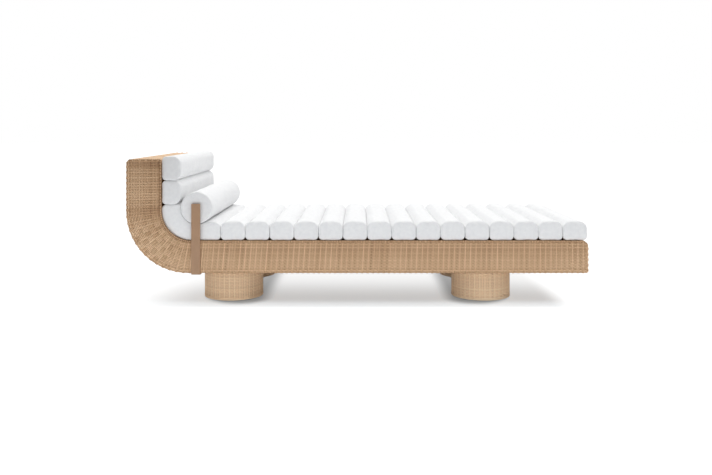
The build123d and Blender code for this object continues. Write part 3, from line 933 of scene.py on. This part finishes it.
def make_cover(name, outline, low_y, high_y, edge_radius, firm_share=1):
    """A sewn cover: a sleeve over the outline along Y, and an end panel seamed to it at each end.
    The firm share makes the ends' edges that much tighter at the base."""
    mesh = Mesh()
    ring = even(outline, RING_STEP)
    rise = (ring[:, 1] - ring[:, 1].min()) / np.ptp(ring[:, 1])
    softness = firm_share + (1 - firm_share) * np.clip(rise / FIRM_HEIGHT_SHARE, 0, 1)[:, None]
    turn = np.linspace(0, math.pi / 2, EDGE_RINGS)
    inset = edge_radius * (1 - np.cos(turn))
    reach = edge_radius * np.sin(turn)
    inset[SEAM_RING] += SEAM_DEPTH
    middle_low, middle_high = low_y + edge_radius, high_y - edge_radius
    stations = round((middle_high - middle_low) / STATION_STEP)
    places = [(middle_low - r, i) for r, i in zip(reach[:0:-1], inset[:0:-1])]
    places += [(y, 0) for y in np.linspace(middle_low, middle_high, stations + 1)]
    places += [(middle_high + r, i) for r, i in zip(reach[1:], inset[1:])]
    verts = np.array([in_space(drawn_in(ring, i * softness), y) for y, i in places])
    count = len(ring)
    index = np.arange(len(places) * count).reshape(len(places), count)
    mesh.add(verts, tube(index[:-1], index[1:]))
    net, faces = end_cover(verts[-1][:, [0, 2]])
    for y, first, flip in ((places[0][0], 0, False), (places[-1][0], index[-1, 0], True)):
        start = mesh.add_points(in_space(net, y))
        own = np.where(faces < count, faces + first, faces - count + start)
        mesh.add_faces(own[:, ::-1] if flip else own)
    return mesh.finish(name, canvas)

def coords(mesh):
    flat = np.empty(len(mesh.vertices) * 3, dtype=np.float32)
    mesh.vertices.foreach_get("co", flat)
    return flat.reshape(-1, 3).astype(float)


def set_coords(mesh, points):
    mesh.vertices.foreach_set("co", points.astype(np.float32).ravel())
    mesh.update()


def uneven(points, seed):
    """A slight, slow unevenness of the filling, different for each seed."""
    draw = np.random.default_rng(seed)
    height = np.zeros(len(points))
    for _ in range(UNEVEN_WAVES):
        wave = draw.uniform(*UNEVEN_RATES, 3) * draw.choice([-1, 1], 3)
        height += np.cos(points @ wave + draw.uniform(0, 2 * math.pi))
    return height / math.sqrt(UNEVEN_WAVES)


def inflate(covers):
    """Swells the covers under air pressure, all in one run. Pinned points stay where they rest."""
    starts = {}
    for obj, held, _ in covers:
        starts[obj.name] = coords(obj.data)
        pin = obj.vertex_groups.new(name="pin")
        pin.add(np.flatnonzero(held).tolist(), 1, "REPLACE")
        cloth = obj.modifiers.new("cloth", "CLOTH")
        for name, value in CLOTH_SETTINGS.items():
            setattr(cloth.settings, name, value)
        cloth.settings.effector_weights.gravity = 0
        cloth.settings.vertex_group_mass = "pin"
        cloth.collision_settings.use_collision = False
        cloth.point_cache.frame_start = 1
        cloth.point_cache.frame_end = CLOTH_FRAMES
    scene = bpy.context.scene
    for number in range(1, CLOTH_FRAMES + 1):
        scene.frame_set(number)
    depsgraph = bpy.context.evaluated_depsgraph_get()
    swollen = {obj.name: coords(obj.evaluated_get(depsgraph).data) for obj, _, _ in covers}
    for obj, _, cap in covers:
        obj.modifiers.clear()
        obj.vertex_groups.clear()
        start = starts[obj.name]
        move = swollen[obj.name] - start
        length = np.linalg.norm(move, axis=1, keepdims=True)
        move *= np.tanh(length / cap) * cap / np.maximum(length, SMALLEST_MOVE)
        set_coords(obj.data, start + move)
    scene.frame_set(1)


seat_nodes = sorted(node for node in nodes if node.startswith("seat_roll"))
back_nodes = sorted(node for node in nodes if node.startswith("back_roll"))
seat_low, seat_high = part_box(seat_nodes[0])
ROLL_WIDTH = seat_high[0] - seat_low[0]
ROLL_HEIGHT = seat_high[2] - seat_low[2]
PAD_Y = seat_high[1]
bolster_low, bolster_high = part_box("bolster_pad")
BOLSTER_X = (bolster_low[0] + bolster_high[0]) / 2
BOLSTER_Z = (bolster_low[2] + bolster_high[2]) / 2
BOLSTER_RADIUS = (bolster_high[0] - bolster_low[0]) / 2


def make_roll_master(number):
    """One swollen seat roll about the middle of its base, and where it is held."""
    half = (ROLL_WIDTH - NEIGHBOUR_GAP) / 2
    top = ROLL_HEIGHT - TOP_INSET
    corners = [(-half, 0), (half, 0), (half, top), (-half, top)]
    radii = [ROLL_BOTTOM, ROLL_BOTTOM, ROLL_TOP, ROLL_TOP]
    outline = rounded_outline(corners, radii, ROLL_STEPS)
    reach = PAD_Y - END_INSET
    obj = make_cover(f"roll_master_{number}", outline, -reach, reach, ROLL_EDGE, FIRM_SHARE)
    points = coords(obj.data)
    resting = (np.abs(points[:, 0]) > half - FLAT_REST) | (points[:, 2] < FLAT_REST)
    held = np.where(resting & (np.abs(points[:, 1]) < PAD_Y - 2 * ROLL_EDGE), 1, 0)
    height = uneven(points, number) * UNEVENNESS * (1 - held)
    points[:, 2] += height * np.clip(points[:, 2] / ROLL_HEIGHT, 0, 1)
    set_coords(obj.data, points)
    return obj, held, SWELL_CAP


def arc(centre, radius, first, last, count):
    """Points in X and Z round a centre, from one turn to another."""
    return [
        (centre[0] + radius * math.cos(turn), centre[1] + radius * math.sin(turn))
        for turn in np.linspace(first, last, count)
    ]


def corner_outline():
    """Cross-section of the corner pad, hollowed for the bolster, with its bend against the body."""
    low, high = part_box("corner_pad")
    trough = BOLSTER_RADIUS + TROUGH_GAP
    trough_x = BOLSTER_X - trough
    shoulder = low[2] + ROLL_HEIGHT - PAD_CROWN
    start = math.asin((BOLSTER_Z - shoulder) / trough)
    lip_x = BOLSTER_X + trough * math.cos(start)
    bend_centre = (low[0] + INNER_BEND, low[2] + INNER_BEND)
    base = rounded_outline(
        [(bend_centre[0], low[2]), (high[0], low[2]), (high[0], shoulder), (lip_x, shoulder)],
        [0, ROLL_BOTTOM, ROLL_TOP, 0],
        CORNER_STEPS,
    )
    hollow = arc((BOLSTER_X, BOLSTER_Z), trough, -start, -math.pi, TROUGH_POINTS)
    heel_z = high[2] + BACK_LIFTS[0]
    heel = rounded_outline(
        [(trough_x, BOLSTER_Z), (trough_x, heel_z), (low[0], heel_z), (low[0], BOLSTER_Z)],
        [0, HEEL_FRONT, ROLL_BOTTOM, 0],
        CORNER_STEPS,
    )
    bend = arc(bend_centre, INNER_BEND, math.pi, 1.5 * math.pi, BEND_POINTS)
    return np.array([*base[:-1], *hollow, *heel[1:-1], *bend[:-1]])


def make_corner_cover():
    low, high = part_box("corner_pad")
    ends = (low[1] + END_INSET, high[1] - END_INSET)
    obj = make_cover("corner_cushion", corner_outline(), *ends, PAD_EDGE)
    points = coords(obj.data)
    x, z = points[:, 0], points[:, 2]
    from_bolster = np.hypot(x - BOLSTER_X, z - BOLSTER_Z) - BOLSTER_RADIUS
    from_centre = np.hypot(x - low[0] - INNER_BEND, z - low[2] - INNER_BEND)
    in_bend = (x < low[0] + INNER_BEND) & (z < low[2] + INNER_BEND)
    resting = (
        (from_bolster < ROUND_REST)
        | (in_bend & (from_centre > INNER_BEND - ROUND_REST))
        | (x < low[0] + FLAT_REST)
        | (x > high[0] - FLAT_REST)
        | (z < low[2] + FLAT_REST)
    )
    held = np.where(resting & (np.abs(points[:, 1]) < PAD_Y - 2 * PAD_EDGE), 1, 0)
    return obj, held, SWELL_CAP


def make_bolster_cover():
    low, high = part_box("bolster_pad")
    outline = np.array([BOLSTER_X, BOLSTER_Z]) + around(BOLSTER_POINTS)[:, :2] * BOLSTER_RADIUS
    ends = (low[1] + END_INSET, high[1] - END_INSET)
    obj = make_cover("bolster_cushion", outline, *ends, BOLSTER_EDGE)
    points = coords(obj.data)
    outward = points - np.array([BOLSTER_X, 0, BOLSTER_Z])
    held = np.where(np.hypot(outward[:, 0], outward[:, 2]) < BOLSTER_HUB, 1, 0)
    outward[:, 1] = 0
    at_end = np.abs(points[:, 1]) > high[1] - 2 * BOLSTER_EDGE
    share = uneven(points, BOLSTER_SEED) * UNEVENNESS / BOLSTER_RADIUS
    points += outward * np.where(at_end, 0, share)[:, None]
    set_coords(obj.data, points)
    return obj, held, BOLSTER_SWELL_CAP


def dress(obj, body, slot, node):
    place(obj, body, slot, node)


def make_cushions():
    """The covers, swollen, and a copy of a master for each roll, laid on the deck or set on the back."""
    masters = [make_roll_master(number) for number in range(ROLL_MASTERS)]
    corner = make_corner_cover()
    bolster = make_bolster_cover()
    inflate([*masters, corner, bolster])
    for number, node in enumerate(seat_nodes + back_nodes):
        low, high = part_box(node)
        mesh = masters[number * 2 % ROLL_MASTERS][0].data.copy()
        points = coords(mesh)
        if number % 2:
            points[:, :2] *= -1
        x, y, z = points.T
        if node in back_nodes:
            level = back_nodes.index(node)
            bottom, top = low[2] + BACK_LIFTS[level], high[2] + BACK_LIFTS[level + 1]
            width = (top - bottom - NEIGHBOUR_GAP) / (ROLL_WIDTH - NEIGHBOUR_GAP)
            depth = (high[0] - low[0]) / ROLL_HEIGHT
            turned = [low[0] + z * depth, y, (bottom + top) / 2 - x * width]
        else:
            turned = [x + (low[0] + high[0]) / 2, y, z + low[2]]
        set_coords(mesh, np.stack(turned, axis=-1))
        obj = add_object(node.replace("roll", "cushion"), mesh)
        dress(obj, "root", "cushion_fabric", node)
    for master in masters:
        bpy.data.objects.remove(master[0])
    dress(corner[0], "root", "cushion_fabric", "corner_pad")
    dress(bolster[0], "bolster", "bolster_fabric", "bolster_pad")


make_cushions()

# Finishes of the CAD pieces that show as they are, by how their names start
FINISHES = (
    (coat, ("bolster_bracket",)),
    (steel, ("foot_bolts", "foot_nuts", "bracket_screws")),
    (plastic, ("floor_glides", "bolster_bush")),
    (aluminium, ("side_frame", "foot_frame", "foot_plates", "bolster_core_tube")),
    (aluminium, ("deck_rails", "headboard_rails", "underside_rails")),
)
for node, obj in nodes.items():
    for finish, starts in FINISHES:
        if node.startswith(starts):
            obj.data.materials.clear()
            obj.data.materials.append(finish)


# Floor, light and camera

FLOOR_HALF = 30
LENS = 39.07
SENSOR = 36
CAMERA_X = 3.4 * MM
CAMERA_Y = -3.929
CAMERA_Z = 0.800
SHIFT_X = -0.0028
SHIFT_Y = -0.1559
SKY_FRONT = 0.25
SKY_REAR = 0.84
SKY_TURN = (-0.6, 0.2)
SKY_TINT = (0.97, 0.985, 1)
TOP_LIGHT = 1.57
TOP_LIGHT_TINT = (1, 0.992, 0.975)
TOP_LIGHT_ANGLE = 80
TOP_LIGHT_LEAN = 6
TOP_LIGHT_TILT = -10
FRONT_LIGHT = 4.9
REAR_LIGHT = 1.6
LOW_LIGHT_TINT = (0.92, 0.96, 1)
LOW_LIGHT_SIZE = (3.4, 0.24)
LOW_LIGHT_Y = 1.0
LOW_LIGHT_Z = 0.13
FLOOR_BOUNCE = 0.6
# Painted shadow: shares of the floor's real shadow that the camera sees, deeper in front than behind, faded
# towards the ends and the front
SHADOW_SHARE_FRONT = 0.65
SHADOW_SHARE_BACK = 0.25
SHADOW_HEAD_END = (-1300 * MM, -630 * MM)
SHADOW_FOOT_END = (1020 * MM, 860 * MM)
SHADOW_FRONT_END = (-590 * MM, -470 * MM)
# Painted shadow round each foot: its core set in and forward of the foot's middle, its reach, and its
# deepest share
CONTACT_INWARD = 40 * MM
CONTACT_FORWARD = 57 * MM
CONTACT_REACH = (80 * MM, 170 * MM)
CONTACT_SHARE = 0.42
FLOOR_GLOW = 1.19
FLOOR_TINT = (0.91, 0.965, 1)


def make_floor():
    """A white floor: to the camera it mixes a glow with its lit colour by a painted share, which makes its
    real shadow deeper in front than behind and fades it towards the ends and the front, and a painted
    shadow darkens it round each foot.
    """
    mesh = bpy.data.meshes.new("floor")
    h = FLOOR_HALF
    mesh.from_pydata([(-h, -h, 0), (h, -h, 0), (h, h, 0), (-h, h, 0)], [], [(0, 1, 2, 3)])
    material = bpy.data.materials.new("floor")
    material.use_nodes = True
    mesh.materials.append(material)
    tree = material.node_tree
    tree.nodes.clear()
    where = tree.nodes.new("ShaderNodeTexCoord").outputs["Object"]
    split = add_node(tree, "ShaderNodeSeparateXYZ", Vector=where)
    x, y = split.outputs["X"], split.outputs["Y"]
    share = map_range(tree, y, -SIDE_Y, SIDE_Y / 2, SHADOW_SHARE_FRONT, SHADOW_SHARE_BACK)
    for source, fade in ((x, SHADOW_HEAD_END), (x, SHADOW_FOOT_END), (y, SHADOW_FRONT_END)):
        share = calculate(tree, "Math", "MULTIPLY", share, map_range(tree, source, *fade))
    low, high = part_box("foot_weave_foot_left")
    core = ((low[0] + high[0]) / 2 - CONTACT_INWARD, (low[1] + high[1]) / 2 + CONTACT_FORWARD, 0)
    away = calculate(tree, "VectorMath", "ABSOLUTE", where)
    away = calculate(tree, "VectorMath", "SUBTRACT", away, core)
    away = calculate(tree, "VectorMath", "MAXIMUM", away, (-FLOOR_HALF, 0, 0))
    distance = calculate(tree, "VectorMath", "LENGTH", away)
    # Painted shadow round each foot, darkest near its core
    painted_foot_shadow = map_range(tree, distance, *CONTACT_REACH, CONTACT_SHARE, 1)
    glow = add_node(tree, "ShaderNodeEmission", Color=(1, 1, 1, 1), Strength=FLOOR_GLOW).outputs[0]
    seen = add_node(tree, "ShaderNodeBsdfDiffuse", Color=(*FLOOR_TINT, 1)).outputs[0]
    grey = (FLOOR_BOUNCE, FLOOR_BOUNCE, FLOOR_BOUNCE, 1)
    bounce = add_node(tree, "ShaderNodeBsdfDiffuse", Color=grey).outputs[0]
    lit = mix(tree, painted_foot_shadow, None, mix(tree, share, glow, seen))
    by_camera = tree.nodes.new("ShaderNodeLightPath").outputs["Is Camera Ray"]
    add_node(tree, "ShaderNodeOutputMaterial", Surface=mix(tree, by_camera, bounce, lit))
    add_object("floor", mesh)


def make_world():
    """Light from all round, dimmer from the front, and pure white to the camera and in a gloss."""
    world = bpy.data.worlds.new("studio")
    bpy.context.scene.world = world
    world.use_nodes = True
    tree = world.node_tree
    tree.nodes.clear()
    way = tree.nodes.new("ShaderNodeTexCoord").outputs["Generated"]
    depth = add_node(tree, "ShaderNodeSeparateXYZ", Vector=way).outputs["Y"]
    strength = map_range(tree, depth, *SKY_TURN, SKY_FRONT, SKY_REAR)
    light = add_node(tree, "ShaderNodeBackground", Color=(*SKY_TINT, 1), Strength=strength).outputs[0]
    white = add_node(tree, "ShaderNodeBackground", Color=(1, 1, 1, 1), Strength=1).outputs[0]
    path = tree.nodes.new("ShaderNodeLightPath").outputs
    seen = calculate(tree, "Math", "MAXIMUM", path["Is Camera Ray"], path["Is Glossy Ray"])
    add_node(tree, "ShaderNodeOutputWorld", Surface=mix(tree, seen, light, white))


def make_lights():
    """A wide soft light from above, and long low ones that brighten what is near the floor."""
    data = bpy.data.lights.new("top_light", "SUN")
    data.energy = TOP_LIGHT
    data.color = TOP_LIGHT_TINT
    data.angle = math.radians(TOP_LIGHT_ANGLE)
    turn = (math.radians(TOP_LIGHT_TILT), math.radians(TOP_LIGHT_LEAN), 0)
    add_object("top_light", data).rotation_euler = turn
    for name, side, energy in (("front_light", -1, FRONT_LIGHT), ("rear_light", 1, REAR_LIGHT)):
        data = bpy.data.lights.new(name, "AREA")
        data.shape = "RECTANGLE"
        data.size, data.size_y = LOW_LIGHT_SIZE
        data.energy = energy
        data.color = LOW_LIGHT_TINT
        lamp = add_object(name, data)
        lamp.location = (0, side * LOW_LIGHT_Y, LOW_LIGHT_Z)
        lamp.rotation_euler = (-side * math.pi / 2, 0, 0)
        lamp.visible_camera = False
        lamp.visible_glossy = False


def make_camera():
    """A level camera in front of the lounger's middle, shifted down to it."""
    data = bpy.data.cameras.new("camera")
    data.lens = LENS
    data.sensor_width = SENSOR
    data.shift_x = SHIFT_X
    data.shift_y = SHIFT_Y
    camera = add_object("camera", data)
    camera.location = (CAMERA_X, CAMERA_Y, CAMERA_Z)
    camera.rotation_euler = (math.pi / 2, 0, 0)
    bpy.context.scene.camera = camera


make_floor()
make_world()
make_lights()
make_camera()
bpy.context.scene.view_settings.view_transform = "Standard"
